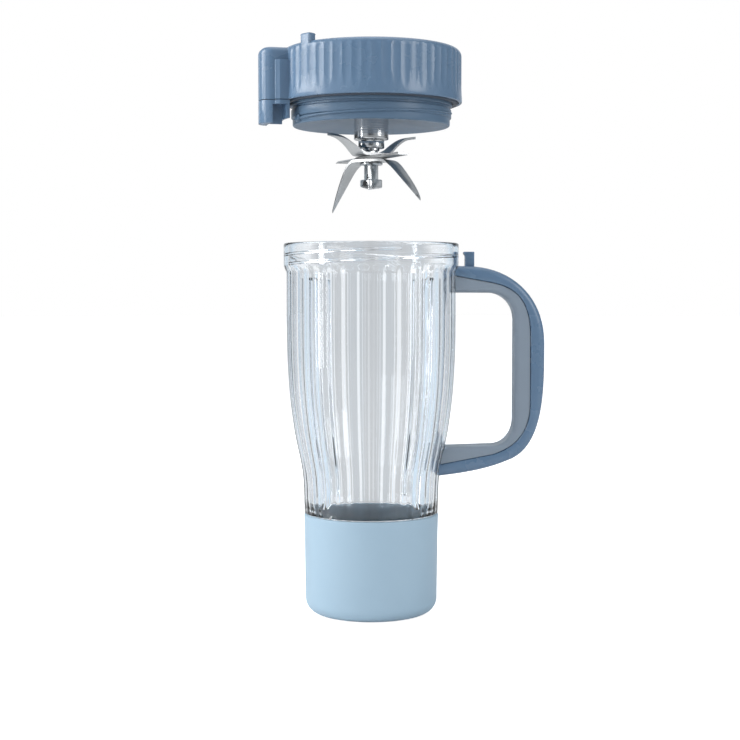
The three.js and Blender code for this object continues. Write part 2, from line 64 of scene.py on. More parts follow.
# %% Camera
eye = (-0.66 * mm, -816 * mm, 180 * mm)
tilt = radians(3.24)
bpy.ops.object.camera_add(location=eye, rotation=(pi / 2 - tilt, 0, 0))
camera = bpy.context.object
camera.data.lens = 72.2
camera.data.sensor_width = 36
camera.data.clip_start = 0.01
bpy.context.scene.camera = camera
bpy.context.scene.view_settings.view_transform = "Standard"
print("camera:", round(camera.data.lens, 1), "mm lens, tipped down", round(tilt, 4), "radians")

# %% [markdown]
# ## Studio
# Clear plastic and polished steel look right only when they have something to mirror. The room is a ring of
# tall panels, bright and dark in turn, painted by compass direction. The camera itself sees plain white. A
# ray that has come through clear plastic sees a second ring: soft grey cards straight ahead and every 45
# degrees round, with white and pale blue between them, so the flutes show as light bars. Softboxes add the
# crisp highlights.

# %% Painting by direction
# Compass bearings run from the camera: 0 is behind the camera, -90 the left and 90 the right.
ROOM = [
    (-180, 0.80), (-154, 0.75), (-140, 0.06), (-102, 0.06), (-96, 0.70), (-86, 0.70), (-80, 0.08),
    (-72, 0.08), (-60, 0.62), (-30, 0.58), (-18, 0.10), (8, 0.12), (20, 0.40), (60, 0.60), (90, 0.55),
    (104, 0.14), (138, 0.16), (154, 0.75), (180, 0.80),
]
SKY_TINT = (0.90, 0.95, 1.0)
CARD, CLEAR, COOL = (0.62, 0.63, 0.64), (1.0, 1.0, 1.0), (0.76, 0.89, 1.0)
# An eighth of the ring, from the middle of one grey card to the middle of the next.
THROUGH = [
    (0.0, CARD), (0.093, CARD), (0.125, CLEAR), (0.2, CLEAR), (0.3, COOL), (0.7, COOL), (0.8, CLEAR),
    (0.875, CLEAR), (0.907, CARD), (1.0, CARD),
]


def new_node(tree, kind, operation=None, *links):
    """A shader node, its operation and the outputs that feed it, in order."""
    node = tree.nodes.new("ShaderNode" + kind)
    if operation:
        node.operation = operation
    for socket, source in zip(node.inputs, links):
        if hasattr(source, "is_linked"):
            tree.links.new(source, socket)
        elif source is not None:
            socket.default_value = source
    return node


def ramp(tree, value, stops):
    """A colour ramp with these stops."""
    node = new_node(tree, "ValToRGB", None, value)
    elements = node.color_ramp.elements
    while len(elements) < len(stops):
        elements.new(0.5)
    for element, (place, colour) in zip(elements, stops):
        element.position = place
        element.color = (*colour, 1)
    return node.outputs["Color"]


def bearing_of(tree, vector):
    """Compass bearing as a share of a whole turn, from a direction or a place on the floor."""
    split = new_node(tree, "SeparateXYZ", None, vector)
    flip = new_node(tree, "Math", "MULTIPLY", split.outputs["Y"], -1.0)
    angle = new_node(tree, "Math", "ARCTAN2", split.outputs["X"], flip.outputs[0])
    return new_node(tree, "Math", "MULTIPLY_ADD", angle.outputs[0], 0.5 / pi, 0.5).outputs[0]


def cards_of(tree, vector):
    """The grey cards that repeat eight times round the room."""
    eighths = new_node(tree, "Math", "MULTIPLY", bearing_of(tree, vector), 8.0)
    share = new_node(tree, "Math", "FRACT", eighths.outputs[0])
    return ramp(tree, share.outputs[0], THROUGH)


# %% Floor
ROOM_GLOW, CAMERA_GLOW = 0.02, 0.83
floor_white = bpy.data.materials.new("floor_white")
floor_white.use_nodes = True
tree = floor_white.node_tree
shader = tree.nodes["Principled BSDF"]
shader.inputs["Base Color"].default_value = (0.80, 0.80, 0.80, 1)
shader.inputs["Roughness"].default_value = 0.5
ray = new_node(tree, "LightPath")
seen_glow = new_node(tree, "Math", "MULTIPLY_ADD", ray.outputs["Is Camera Ray"], CAMERA_GLOW, ROOM_GLOW)
tree.links.new(seen_glow.outputs[0], shader.inputs["Emission Strength"])
shader.inputs["Emission Color"].default_value = (1, 1, 1, 1)
place = new_node(tree, "TexCoord")
card_light = new_node(tree, "Emission", None, cards_of(tree, place.outputs["Object"]))
pick = new_node(tree, "MixShader", None, ray.outputs["Is Transmission Ray"], shader.outputs[0],
                card_light.outputs[0])
tree.links.new(pick.outputs[0], tree.nodes["Material Output"].inputs["Surface"])
bpy.ops.object.select_all(action="DESELECT")
bpy.ops.mesh.primitive_circle_add(vertices=96, radius=8, fill_type="NGON")
floor = bpy.context.object
floor.name = "floor"
floor.data.materials.append(floor_white)
print("floor:", floor.dimensions.x, "m across")

# %% Sky
world = bpy.data.worlds.new("studio")
bpy.context.scene.world = world
world.use_nodes = True
sky = world.node_tree
direction = new_node(sky, "TexCoord").outputs["Generated"]
room_stops = [((bearing + 180) / 360, tuple(light * c for c in SKY_TINT)) for bearing, light in ROOM]
mirrored = new_node(sky, "Background", None, ramp(sky, bearing_of(sky, direction), room_stops))
through = new_node(sky, "Background", None, cards_of(sky, direction))
seen = sky.nodes["Background"]
seen.inputs["Color"].default_value = (1, 1, 1, 1)
ray = new_node(sky, "LightPath")
clear_or_not = new_node(sky, "MixShader", None, ray.outputs["Is Transmission Ray"], mirrored.outputs[0],
                        through.outputs[0])
choose = new_node(sky, "MixShader", None, ray.outputs["Is Camera Ray"], clear_or_not.outputs[0],
                  seen.outputs[0])
sky.links.new(choose.outputs[0], sky.nodes["World Output"].inputs["Surface"])
print("sky with", len(ROOM), "stops round the room")

# %% Softboxes
def softbox(name, place, aim, size, power, mirrored=True):
    """A rectangular soft light that looks at a point."""
    bpy.ops.object.light_add(type="AREA", location=place)
    lamp = bpy.context.object
    lamp.name = name
    lamp.data.shape = "RECTANGLE"
    lamp.data.size, lamp.data.size_y = size
    lamp.data.energy = power
    lamp.visible_glossy = mirrored
    lamp.rotation_euler = (Vector(aim) - Vector(place)).to_track_quat("-Z", "Y").to_euler()


lid_middle = (0, 0, 290 * mm)
cup_middle = (0, 0, 140 * mm)
softbox("left_softbox", (-1.0, -0.02, 0.80), lid_middle, (0.62, 0.80), 10)
softbox("left_strip", (-1.0, -0.42, 0.20), cup_middle, (0.12, 0.9), 3.0)
softbox("right_softbox", (0.95, -0.62, 0.75), lid_middle, (0.50, 0.90), 5.5)
softbox("front_softbox", (-0.75, -1.15, 0.65), cup_middle, (0.5, 0.9), 3.6, mirrored=False)
softbox("top_softbox", (0.1, 0.2, 1.5), cup_middle, (1.2, 1.2), 4)
print("five softboxes")

# %% [markdown]
# ## Working by operator
# A turned piece starts as one corner that is extruded into a profile and spun about the axis, as on a
# lathe. A moulded bar starts as an outline that is filled and extruded. An operator works on all that is
# selected, so everything is deselected first, and the corners, edges or faces to work on are then selected
# by place.

# %% Selecting
def only(piece):
    """Selects this object alone and makes it active."""
    bpy.ops.object.select_all(action="DESELECT")
    piece.select_set(True)
    bpy.context.view_layer.objects.active = piece


def edit(piece, kind, test):
    """Opens the piece with those corners, edges or faces selected that pass a test in millimetres."""
    only(piece)
    mesh = piece.data
    for parts in (mesh.vertices, mesh.edges, mesh.polygons):
        parts.foreach_set("select", [False] * len(parts))
    if kind == "VERT":
        chosen = [v for v in mesh.vertices if test(v.co / mm)]
    elif kind == "EDGE":
        chosen = [e for e in mesh.edges if test(*(mesh.vertices[i].co / mm for i in e.vertices))]
    else:
        chosen = [f for f in mesh.polygons if test(f.center / mm, f.normal)]
    for part in chosen:
        part.select = True
    bpy.context.tool_settings.mesh_select_mode = (kind == "VERT", kind == "EDGE", kind == "FACE")
    bpy.ops.object.mode_set(mode="EDIT")


def finish_edit():
    """Goes back to object mode."""
    bpy.ops.object.mode_set(mode="OBJECT")


def close_up(piece):
    """Merges doubles, turns the faces outwards, and leaves the object at the origin, unturned, unscaled."""
    only(piece)
    bpy.ops.object.mode_set(mode="EDIT")
    bpy.ops.mesh.select_all(action="SELECT")
    bpy.ops.mesh.remove_doubles(threshold=0.004 * mm)
    bpy.ops.mesh.normals_make_consistent(inside=False)
    finish_edit()
    bpy.ops.object.transform_apply(location=True, rotation=True, scale=True)
    return piece


# %% Drawing
def draw(name, points):
    """A line of corners in millimetres, extruded from point to point. It is left open in edit mode."""
    corners = [Vector(p) * mm for p in points]
    bpy.ops.object.select_all(action="DESELECT")
    bpy.ops.mesh.primitive_plane_add(size=mm, location=corners[0])
    piece = bpy.context.object
    piece.name = piece.data.name = name
    bpy.context.tool_settings.mesh_select_mode = (True, False, False)
    bpy.ops.object.mode_set(mode="EDIT")
    bpy.ops.mesh.merge(type="CENTER")
    for here, there in zip(corners, corners[1:]):
        bpy.ops.mesh.extrude_vertices_move(TRANSFORM_OT_translate={"value": there - here})
    bpy.ops.mesh.select_all(action="SELECT")
    return piece


def turned(name, profile, steps=96):
    """A profile of (radius, height) spun about the Z axis."""
    piece = draw(name, [(radius, 0, height) for radius, height in profile])
    bpy.ops.mesh.spin(steps=steps, angle=2 * pi, center=(0, 0, 0), axis=(0, 0, 1))
    finish_edit()
    return close_up(piece)


def pressed(name, outline, low, high, upright=False):
    """An outline filled and extruded from low to high: along Z, or along Y when it stands upright."""
    ring = [*outline, outline[0]]
    points = [(a, low, b) for a, b in ring] if upright else [(a, b, low) for a, b in ring]
    piece = draw(name, points)
    bpy.ops.mesh.remove_doubles(threshold=0.004 * mm)
    bpy.ops.mesh.edge_face_add()
    move = Vector((0, 1, 0) if upright else (0, 0, 1)) * (high - low) * mm
    bpy.ops.mesh.extrude_region_move(TRANSFORM_OT_translate={"value": move})
    finish_edit()
    return close_up(piece)


def wound(name, section, radius, low, turns, rise, steps=48):
    """A small closed section carried round the Z axis while it climbs: a thread or a spring."""
    piece = draw(name, [(radius + a, 0, low + b) for a, b in [*section, section[0]]])
    bpy.ops.mesh.remove_doubles(threshold=0.004 * mm)
    finish_edit()
    bpy.ops.object.transform_apply(location=True, rotation=True, scale=True)
    bpy.ops.object.modifier_add(type="SCREW")
    screw = piece.modifiers[-1]
    screw.angle = 2 * pi * turns
    screw.screw_offset = rise * mm
    screw.steps = screw.render_steps = int(steps * turns)
    screw.use_smooth_shade = False
    bpy.ops.object.modifier_apply(modifier=screw.name)
    bpy.ops.object.mode_set(mode="EDIT")
    bpy.ops.mesh.select_all(action="SELECT")
    bpy.ops.mesh.fill_holes(sides=0)
    finish_edit()
    return close_up(piece)


# %% Curves
def bezier(p0, p1, p2, p3, steps=12):
    """Points along a cubic curve, its first point left out."""
    points = []
    for k in range(1, steps + 1):
        t = k / steps
        share = ((1 - t) ** 3, 3 * t * (1 - t) ** 2, 3 * t * t * (1 - t), t ** 3)
        points.append(tuple(sum(s * p[i] for s, p in zip(share, (p0, p1, p2, p3))) for i in (0, 1)))
    return points


def smooth_line(points, steps=6):
    """A Catmull-Rom curve through the points, the same one that the solids were made with."""
    ends = [points[0], *points, points[-1]]
    out = [points[0]]
    for k in range(len(points) - 1):
        a, b, c, d = ends[k:k + 4]
        for step in range(1, steps + 1):
            t = step / steps
            out.append(tuple(
                b[i] + 0.5 * t * (c[i] - a[i] + t * (2 * a[i] - 5 * b[i] + 4 * c[i] - d[i]
                                                     + t * (3 * (b[i] - c[i]) + d[i] - a[i])))
                for i in (0, 1)))
    return out


def arc(x, y, radius, start, end, steps=6):
    """Points round a centre from one angle to another, in degrees."""
    angles = [radians(start + (end - start) * k / steps) for k in range(steps + 1)]
    return [(x + radius * cos(a), y + radius * sin(a)) for a in angles]


def at(points, x):
    """The height of a line of points above x."""
    for (x0, y0), (x1, y1) in zip(points, points[1:]):
        if x0 <= x <= x1:
            return y0 + (y1 - y0) * (x - x0) / (x1 - x0)
    return points[0][1] if x < points[0][0] else points[-1][1]


# %% Joining, rounding and turning
def combine(piece, other, operation="DIFFERENCE"):
    """Cuts or joins with another solid, which is used up."""
    only(piece)
    bpy.ops.object.modifier_add(type="BOOLEAN")
    step = piece.modifiers[-1]
    step.operation = operation
    step.solver = "MANIFOLD"
    step.object = other
    bpy.ops.object.modifier_apply(modifier=step.name)
    bpy.data.objects.remove(other)
    return piece


def split_faces(piece):
    """Cuts every face into triangles, so that a boolean can't misread a long concave one."""
    edit(piece, "FACE", lambda centre, normal: True)
    bpy.ops.mesh.quads_convert_to_tris(quad_method="BEAUTY", ngon_method="BEAUTY")
    finish_edit()


def soften(piece, width, segments=2, angle=35):
    """Rounds every edge that is sharper than the angle."""
    only(piece)
    bpy.ops.object.modifier_add(type="BEVEL")
    step = piece.modifiers[-1]
    step.width = width * mm
    step.segments = segments
    step.limit_method = "ANGLE"
    step.angle_limit = radians(angle)
    bpy.ops.object.modifier_apply(modifier=step.name)
    return piece


def round_edges(piece, width, segments, test):
    """Rounds the edges that pass a test of their two ends."""
    edit(piece, "EDGE", test)
    bpy.ops.mesh.bevel(offset=width * mm, segments=segments, profile=0.5, affect="EDGES")
    finish_edit()
    return piece


def turn(piece, angle):
    """Turns a piece about the Z axis through the origin and applies the turn."""
    only(piece)
    piece.rotation_euler = (0, 0, radians(angle))
    bpy.ops.object.transform_apply(location=True, rotation=True, scale=True)
    return piece


def block(name, x, y, z):
    """A box between two limits on each axis."""
    bpy.ops.object.select_all(action="DESELECT")
    middle = [(a + b) / 2 * mm for a, b in (x, y, z)]
    bpy.ops.mesh.primitive_cube_add(size=1, location=middle, scale=[(b - a) * mm for a, b in (x, y, z)])
    piece = bpy.context.object
    piece.name = piece.data.name = name
    return close_up(piece)


def rod(name, x, y, radius, low, high, sides=32):
    """A round bar that stands along Z."""
    bpy.ops.object.select_all(action="DESELECT")
    spot = (x * mm, y * mm, (low + high) / 2 * mm)
    depth = (high - low) * mm
    bpy.ops.mesh.primitive_cylinder_add(vertices=sides, radius=radius * mm, depth=depth, location=spot)
    piece = bpy.context.object
    piece.name = piece.data.name = name
    return close_up(piece)


def settle(piece, body, finish, *stands_for, smooth=32):
    """Gives a finished piece its shading, finish and body, and hides the solids it stands for."""
    only(piece)
    bpy.ops.object.shade_smooth_by_angle(angle=radians(smooth))
    piece.data.materials.clear()
    piece.data.materials.append(finish)
    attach(piece, body)
    if stands_for:
        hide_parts(*stands_for)
    print(f"{piece.name}: {len(piece.data.polygons)} faces in {finish.name}")
    return piece


# %% [markdown]
# ## Finishes
# Moulded plastic is never one flat colour: the colour drifts a little, the gloss is broken up, and the
# surface has a very fine orange peel. Three node groups give these effects from Object coordinates. Each
# material places them with its own values, so the whole object looks as if it came from one factory.

# %% Shared effects
def new_group(name, inputs, output):
    """A node group with named inputs and one output."""
    group = bpy.data.node_groups.new(name, "ShaderNodeTree")
    for socket, kind, value in inputs:
        group.interface.new_socket(socket, in_out="INPUT", socket_type=kind).default_value = value
    group.interface.new_socket(output[0], in_out="OUTPUT", socket_type=output[1])
    return group, group.nodes.new("NodeGroupInput"), group.nodes.new("NodeGroupOutput")


def add_noise(group, given, detail):
    """A noise texture whose place and scale come from the group's inputs."""
    texture = group.nodes.new("ShaderNodeTexNoise")
    texture.inputs["Detail"].default_value = detail
    group.links.new(given.outputs["Vector"], texture.inputs["Vector"])
    group.links.new(given.outputs["Scale"], texture.inputs["Scale"])
    return texture


PLACE = [("Vector", "NodeSocketVector", (0, 0, 0)), ("Scale", "NodeSocketFloat", 30)]


def make_drift():
    """Colour that drifts between two tones."""
    tones = [("Light", "NodeSocketColor", (1, 1, 1, 1)), ("Deep", "NodeSocketColor", (0, 0, 0, 1))]
    group, given, out = new_group("tone_drift", PLACE + tones, ("Colour", "NodeSocketColor"))
    texture = add_noise(group, given, 3)
    mix = group.nodes.new("ShaderNodeMixRGB")
    group.links.new(texture.outputs["Fac"], mix.inputs["Fac"])
    group.links.new(given.outputs["Light"], mix.inputs["Color1"])
    group.links.new(given.outputs["Deep"], mix.inputs["Color2"])
    group.links.new(mix.outputs["Color"], out.inputs["Colour"])
    return group


def make_breakup():
    """Gloss that varies between two roughness values."""
    limits = [("Low", "NodeSocketFloat", 0.2), ("High", "NodeSocketFloat", 0.3)]
    group, given, out = new_group("gloss_breakup", PLACE + limits, ("Roughness", "NodeSocketFloat"))
    texture = add_noise(group, given, 4)
    spread = group.nodes.new("ShaderNodeMapRange")
    spread.inputs["From Min"].default_value = 0.3
    spread.inputs["From Max"].default_value = 0.7
    group.links.new(texture.outputs["Fac"], spread.inputs["Value"])
    group.links.new(given.outputs["Low"], spread.inputs["To Min"])
    group.links.new(given.outputs["High"], spread.inputs["To Max"])
    group.links.new(spread.outputs["Result"], out.inputs["Roughness"])
    return group


def make_relief():
    """A fine bump from one noise."""
    height = [("Strength", "NodeSocketFloat", 0.1)]
    group, given, out = new_group("fine_relief", PLACE + height, ("Normal", "NodeSocketVector"))
    texture = add_noise(group, given, 2)
    bump = group.nodes.new("ShaderNodeBump")
    bump.inputs["Distance"].default_value = 0.1 * mm
    group.links.new(texture.outputs["Fac"], bump.inputs["Height"])
    group.links.new(given.outputs["Strength"], bump.inputs["Strength"])
    group.links.new(bump.outputs["Normal"], out.inputs["Normal"])
    return group


drift, breakup, relief = make_drift(), make_breakup(), make_relief()
print("shared effects:", drift.name, breakup.name, relief.name)

# %% A finish from the shared effects
def finish(name, slot, tones, gloss, grain, stretch=(1, 1, 1), tone_scale=30, **constants):
    """A material: two tones, a roughness range and a grain of (scale, strength) on Object coordinates."""
    material = bpy.data.materials.new(name)
    material.use_nodes = True
    material["slot"] = slot
    tree = material.node_tree
    shader = tree.nodes["Principled BSDF"]
    where = tree.nodes.new("ShaderNodeTexCoord")
    mapping = tree.nodes.new("ShaderNodeMapping")
    mapping.inputs["Scale"].default_value = stretch
    tree.links.new(where.outputs["Object"], mapping.inputs["Vector"])
    plan = [
        (drift, "Base Color", {"Scale": tone_scale, "Light": (*tones[0], 1), "Deep": (*tones[1], 1)}),
        (breakup, "Roughness", {"Scale": tone_scale * 2.5, "Low": gloss[0], "High": gloss[1]}),
        (relief, "Normal", {"Scale": grain[0], "Strength": grain[1]}),
    ]
    for group, socket, values in plan:
        effect = tree.nodes.new("ShaderNodeGroup")
        effect.node_tree = group
        for key, value in values.items():
            effect.inputs[key].default_value = value
        tree.links.new(mapping.outputs["Vector"], effect.inputs["Vector"])
        tree.links.new(effect.outputs[0], shader.inputs[socket])
    for key, value in constants.items():
        shader.inputs[key.replace("_", " ")].default_value = value
    return material


shell_gloss = finish("shell_gloss_blue", "shell_blue", ((0.132, 0.218, 0.335), (0.116, 0.194, 0.302)),
                     (0.25, 0.29), (1400, 0.02), Coat_Weight=0.1, Coat_Roughness=0.12)
grip_satin = finish("grip_satin_grey", "grip_grey", ((0.262, 0.318, 0.385), (0.235, 0.288, 0.352)),
                    (0.42, 0.52), (2200, 0.18))
boot_soft = finish("boot_soft_blue", "boot_blue", ((0.395, 0.545, 0.665), (0.36, 0.505, 0.625)),
                   (0.44, 0.54), (2600, 0.16), Sheen_Weight=0.12, Sheen_Roughness=0.4)
plug_satin = finish("plug_satin_slate", "plug_grey", ((0.112, 0.180, 0.268), (0.098, 0.160, 0.240)),
                    (0.30, 0.38), (1600, 0.08), Specular_IOR_Level=0.3)
seal_soft = finish("seal_silicone", "seal_grey", ((0.055, 0.075, 0.105), (0.04, 0.058, 0.085)),
                   (0.45, 0.60), (1800, 0.16))
drive_nylon = finish("drive_nylon_black", "drive_black", ((0.034, 0.037, 0.042), (0.022, 0.025, 0.03)),
                     (0.38, 0.50), (1500, 0.2))
print("moulded finishes ready")

# %% [markdown]
# ## Steel
# The turned steel parts are polished but still carry faint rings from the lathe, and the blades carry long
# grinding lines. Both are the same noise, stretched: coarse along X and Y but fine along Z gives rings, and
# the other way about gives upright lines.

# %% Steel finishes
turned_steel = finish("steel_turned", "steel", ((0.76, 0.77, 0.78), (0.64, 0.65, 0.66)),
                      (0.05, 0.10), (1300, 0.50), stretch=(0.02, 0.02, 2), tone_scale=60, Metallic=1)
ground_steel = finish("steel_ground", "steel", ((0.60, 0.61, 0.615), (0.50, 0.51, 0.515)),
                      (0.27, 0.38), (1500, 0.12), stretch=(1, 1, 0.12), tone_scale=160, Metallic=1)
plain_steel = finish("steel_plain", "dark_steel", ((0.50, 0.51, 0.52), (0.38, 0.39, 0.40)),
                     (0.26, 0.38), (1800, 0.12), tone_scale=90, Metallic=1)
print("steel finishes ready")

# %% [markdown]
# ## Clear plastic
# The cup is a clear copolyester, nearly as clear as glass. Its tint is almost white and shows only where a
# line of sight runs a long way inside the wall, at the edges. The moulding leaves very slight waves in it.

# %% Clear finish
tumbler_clear = finish("tumbler_clear", "clear_cup", ((0.95, 0.965, 0.98), (0.93, 0.95, 0.97)),
                       (0.010, 0.03), (220, 0.03), tone_scale=18, Transmission_Weight=1, IOR=1.5)
print("clear finish ready")

# %% [markdown]
# ## Pressing flutes
# The cup and the lid's collar are both fluted. A flute is a shallow arc across its width, so on a finely
# spun wall all the columns that lie equally far from the middle of their flute go in by the same share.
# They are selected together and scaled towards the axis. Where a flute runs out, its arc gets narrower and
# shallower.

# %% Flutes
def press_flutes(piece, count, depth, land, on_wall, strength):
    """Scales wall corners inwards. land is the share of the pitch left as a flat ridge, and strength(height)
    is 1 along a flute and falls to 0 at its ends. Depth is a share of the radius."""
    pitch = 2 * pi / count
    groups = {}
    for corner in piece.data.vertices:
        x, y, z = corner.co / mm
        if not on_wall(hypot(x, y), z):
            continue
        across = (((atan2(y, x) / pitch) % 1) * 2 - 1) / (1 - land)
        share = round(depth * max(0, strength(z) - across * across), 5)
        if share > 0:
            groups.setdefault(share, set()).add(corner.index)
    for share, members in groups.items():
        only(piece)
        chosen = [i in members for i in range(len(piece.data.vertices))]
        piece.data.edges.foreach_set("select", [False] * len(piece.data.edges))
        piece.data.polygons.foreach_set("select", [False] * len(piece.data.polygons))
        piece.data.vertices.foreach_set("select", chosen)
        bpy.context.tool_settings.mesh_select_mode = (True, False, False)
        bpy.ops.object.mode_set(mode="EDIT")
        bpy.ops.transform.resize(value=(1 - share, 1 - share, 1), center_override=(0, 0, 0))
        finish_edit()
    print(f"{piece.name}: {count} flutes pressed in {len(groups)} steps")


# %% [markdown]
# ## The tumbler
# The wall is spun in one piece: foot, waist, shoulder, rim, and back down the inside. The four blending
# ribs, the two starts of the thread and the lugs that hold the handle are joined on as solids, because a
# clear wall would show any faces left inside it.

# %% Tumbler: wall profile
RIM_TOP, BOOT_TOP = 203.3, 55
WALL = 2.4
WALL_LINE = [(37, 60), (37.9, 78), (42.1, 99), (44.9, 120), (46.2, 142), (46.5, 162)]
RIM_ZONE = 190.4
RIM_RADIUS, RIM_BORE = 47.9, 45.4
FOOT_RADIUS, FOOT_HEIGHT, FLOOR_TOP = 34.6, 2.6, 6.5

outer_wall = smooth_line(WALL_LINE, 4)
inner_wall = [(radius - WALL, height) for radius, height in reversed(outer_wall)]
rim = [
    (46.5, 170), (46.5, 179), (46.5, 186.6), (46.55, 187.6), (46.85, 188.5), (47.45, 189.9), (47.78, 190.8),
    (RIM_RADIUS, 191.6), (RIM_RADIUS, 196.5), (RIM_RADIUS, 200.8), *arc(47.0, RIM_TOP - 0.9, 0.9, 0, 90, 4),
    *arc(RIM_BORE + 0.6, RIM_TOP - 0.6, 0.6, 90, 180, 3), (RIM_BORE, 200), (RIM_BORE, 191.9),
    (RIM_BORE - 0.1, 191.1), (RIM_BORE - 0.4, 190.2), (44.42, 188.8), (44.15, 187.9), (44.1, 187),
    (44.1, 180), (44.1, 170),
]
tumbler_profile = [
    (0, FOOT_HEIGHT), *arc(FOOT_RADIUS - 5.7, FOOT_HEIGHT + 5.7, 5.7, -90, 0), (FOOT_RADIUS, BOOT_TOP - 1),
    *arc(FOOT_RADIUS + 0.3, BOOT_TOP, 0.3, 180, 90, 2), (36.4, BOOT_TOP + 0.3), (36.9, BOOT_TOP + 0.8),
    (37, 57), *outer_wall, *rim, *inner_wall, (33.2, 56), (32.2, 51),
    *arc(32.2 - 6, FLOOR_TOP + 6, 6, 0, -90), (0, FLOOR_TOP),
]
tumbler = turned("tumbler", tumbler_profile, steps=360)
print("tumbler wall:", len(tumbler.data.polygons), "faces")

# %% Tumbler: flutes
def outer_radius(height):
    """The wall's outer radius at a height, before the flutes."""
    return at([(55, 37), *((h, r) for r, h in outer_wall), (187.6, 46.5), (191, 47.8), (204, 47.9)], height)


def cup_strength(height):
    """The flutes run out over 1.2 mm above the boot and 3 mm below the rim."""
    return min(1, (height - 55.6) / 1.2, (191 - height) / 3)


press_flutes(tumbler, count=36, depth=0.0076, land=0.12, strength=cup_strength,
             on_wall=lambda radius, height: radius > outer_radius(height) - 0.2 and height > 56)

# %% Tumbler: ribs, thread and lugs
QUARTERS = (45, 135, 225, 315)
THREAD_STARTS = (20, 200)


def rib(angle):
    """An upright fin that follows the inner wall."""
    root = [(radius - WALL + 0.6, height) for radius, height in outer_wall]
    crest = [(radius - WALL - 4, height) for radius, height in outer_wall]
    top = [(44.7, 184.4), (42.1, 184.4), (40.6, 182.9), (40.1, 180.4)]
    fin = pressed("rib", [*root, *top, *reversed(crest[1:]), (crest[0][0] + 3, 60)], -1.5, 1.5, upright=True)
    soften(fin, 0.7, 3, 50)
    return turn(fin, angle)


THREAD_SECTION = [(-0.85, 0.25), (-0.85, -0.25), (-0.55, -0.6), (0.4, -0.9), (0.4, 0.9), (-0.55, 0.6)]
for angle in QUARTERS:
    combine(tumbler, rib(angle), "UNION")
for start in THREAD_STARTS:
    thread = wound("thread", THREAD_SECTION, RIM_BORE, RIM_ZONE + 1.8, turns=0.75, rise=7.5, steps=72)
    combine(tumbler, turn(thread, start), "UNION")
for name, x, z in (("upper_lug", (44.9, 53), (178.4, 183)), ("lower_lug", (37.8, 45), (84.6, 88.6))):
    combine(tumbler, block(name, x, (-5, 5), z), "UNION")
settle(tumbler, "cup", tumbler_clear, "cup_body", smooth=24)

# %% [markdown]
# ## The boot
# A soft silicone cup stretched over the foot. Its corner is generous, its top edge is rounded over, and it
# stands on a narrow ring so that it doesn't rock. It is turned, like the tumbler.

# %% Boot
boot_profile = [
    (0, 0.8), (25.5, 0.8), *arc(26.3, 0.8, 0.8, 180, 270, 3), (27.5, 0),
    *arc(28.3, 8, 8, -90, -1.5, 9),
    (36.55, 26), (36.8, 45), (37, 53.6), *arc(36.2, 54.2, 0.8, 0, 90, 4), *arc(35.6, 54.3, 0.7, 90, 180, 3),
    (34.9, 52), (34.9, 12), *arc(34.9 - 5.7, 2.3 + 5.7, 5.7, 0, -90), (0, 2.3),
]
boot = turned("boot", boot_profile, steps=128)
settle(boot, "cup", boot_soft, "base_boot", smooth=40)

# %% [markdown]
# ## The handle
# Two mouldings lie one inside the other: a gloss shell round the outside and a satin grip for the fingers.
# Each is an outline with a width. The shell is well rounded along its back, the grip along the finger side,
# and the shell stands a little proud of the grip, which marks the seam. Both ends are trimmed to the cup
# with a solid that is the cup's own outline, a little larger.

# %% Handle: outlines
SEAM_REACH, SEAM_GAP = 86.6, 0.15


def seam(shift):
    """The line between shell and grip, from the top arm to the bottom arm. A positive shift moves it out."""
    right = SEAM_REACH + shift
    corner_top, corner_low = (64.7, 181.9 + shift), (66.4, 88.2 - shift)
    return [
        (40, 186.4 + shift), corner_top,
        *bezier(corner_top, (80, 179.2 + shift), (right, 171 + shift), (right, 152), 16),
        (right, 134), (right, 116),
        *bezier((right, 116), (right, 102.5), (80.5 + shift, 92.6 - shift), corner_low, 16),
        (30, 81.2 - shift),
    ]


REACH = 94.4
back_line = [
    (30, 75.4), *bezier((30, 75.4), (50, 77.4), (63, 79.8), (74, 84.4), 10),
    *bezier((74, 84.4), (91, 90), (REACH, 112), (REACH, 138), 16), (REACH, 149),
    *bezier((REACH, 149), (REACH, 172), (79, 188.8), (56, 190.6), 18), (40, 191.2),
]
finger_line = [
    (40, 176.4), (64.7, 176.3), *bezier((64.7, 176.3), (72, 176), (78.1, 170), (78.1, 161.8), 10),
    (78.1, 134),
    (78.1, 107.1), *bezier((78.1, 107.1), (78.1, 99), (73, 93), (66.4, 92.8), 10), (30, 91.6),
]


def cup_former():
    """The cup's outline, 0.3 mm larger, to trim what stands against it."""
    line = [(radius + 0.3, height) for radius, height in smooth_line(WALL_LINE, 6)]
    profile = [(0, 50), (37.3, 50), *line, (46.8, 188.1), (48.2, 190.3), (48.2, 208), (0, 208)]
    return turned("cup_former", profile, steps=96)


def along_line(line):
    """A test for the edges that follow a line on one side of a bar."""
    def on_it(corner):
        return any(abs(corner.x - a) < 0.02 and abs(corner.z - b) < 0.02 for a, b in line)
    return lambda a, b: abs(a.y - b.y) < 0.01 and on_it(a) and on_it(b)


